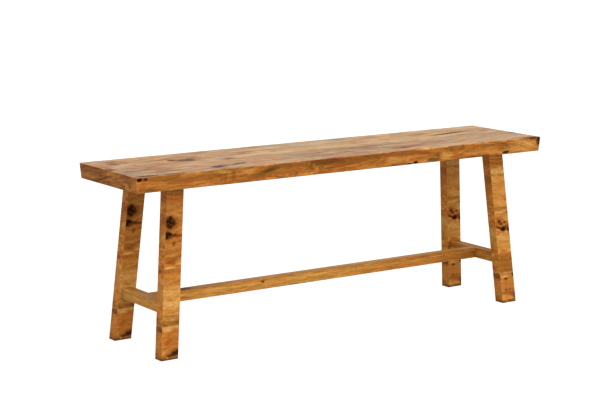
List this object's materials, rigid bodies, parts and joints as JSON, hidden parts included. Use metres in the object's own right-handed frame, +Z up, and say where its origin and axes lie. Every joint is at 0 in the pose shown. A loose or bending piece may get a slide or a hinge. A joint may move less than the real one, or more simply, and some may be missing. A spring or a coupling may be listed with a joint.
{
  "type": "bench",
  "caption": "Solid wood bench with a thick plank seat on splayed straight legs, tied near the floor by stretchers across and along.",
  "frame": {"origin": "on the floor, under the middle of the seat", "axes": "+X along the bench, +Y from the front to the back, +Z up"},
  "size_m": [1.2998, 0.2998, 0.47],
  "materials": {
    "seat_wood": "oiled knotty hardwood, satin, straight grain along the bench",
    "leg_wood": "oiled knotty hardwood, satin, wavy figure across the leg",
    "stretcher_wood": "oiled hardwood, satin, straight even grain",
    "dowel_wood": "plain dry hardwood, hidden in the glued joint"
  },
  "bodies": {
    "root": {"seat_board_front": "seat_wood", "seat_board_back": "seat_wood", "seat_joint_dowels": "dowel_wood", "leg_front_left": "leg_wood", "leg_back_left": "leg_wood", "leg_front_right": "leg_wood", "leg_back_right": "leg_wood", "end_stretcher_left": "stretcher_wood", "end_stretcher_right": "stretcher_wood", "long_stretcher": "stretcher_wood"}
  },
  "joints": []
}
